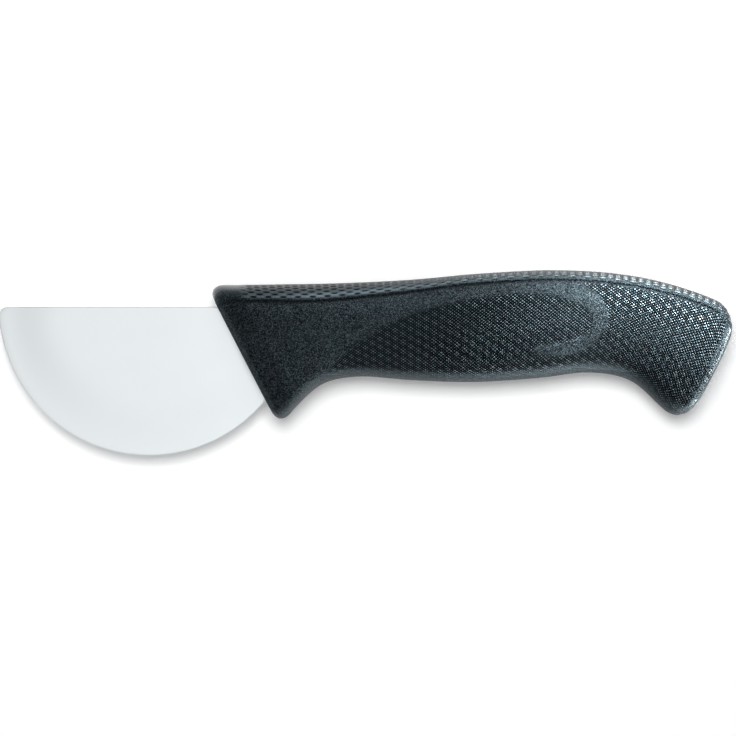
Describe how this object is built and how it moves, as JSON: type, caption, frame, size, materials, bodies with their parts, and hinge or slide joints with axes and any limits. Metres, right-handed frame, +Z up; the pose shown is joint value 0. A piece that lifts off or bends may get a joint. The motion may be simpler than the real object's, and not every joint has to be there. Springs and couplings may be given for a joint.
{
  "type": "farinata knife",
  "caption": "Farinata knife: a half-disc steel blade with a sharpened round edge, its tang moulded into a black textured grip with a finger guard and a hooked butt.",
  "frame": {"origin": "middle of the footprint, on the surface that the knife lies on", "axes": "+X from the blade to the butt, +Y from the edge to the spine, +Z up, square to the blade"},
  "size_m": [0.195, 0.0492, 0.019],
  "materials": {
    "steel": "satin ground stainless steel",
    "grip": "black polypropylene, diamond knurl and fine grain"
  },
  "bodies": {
    "root": {"blade": "steel", "handle": "grip"}
  },
  "joints": []
}
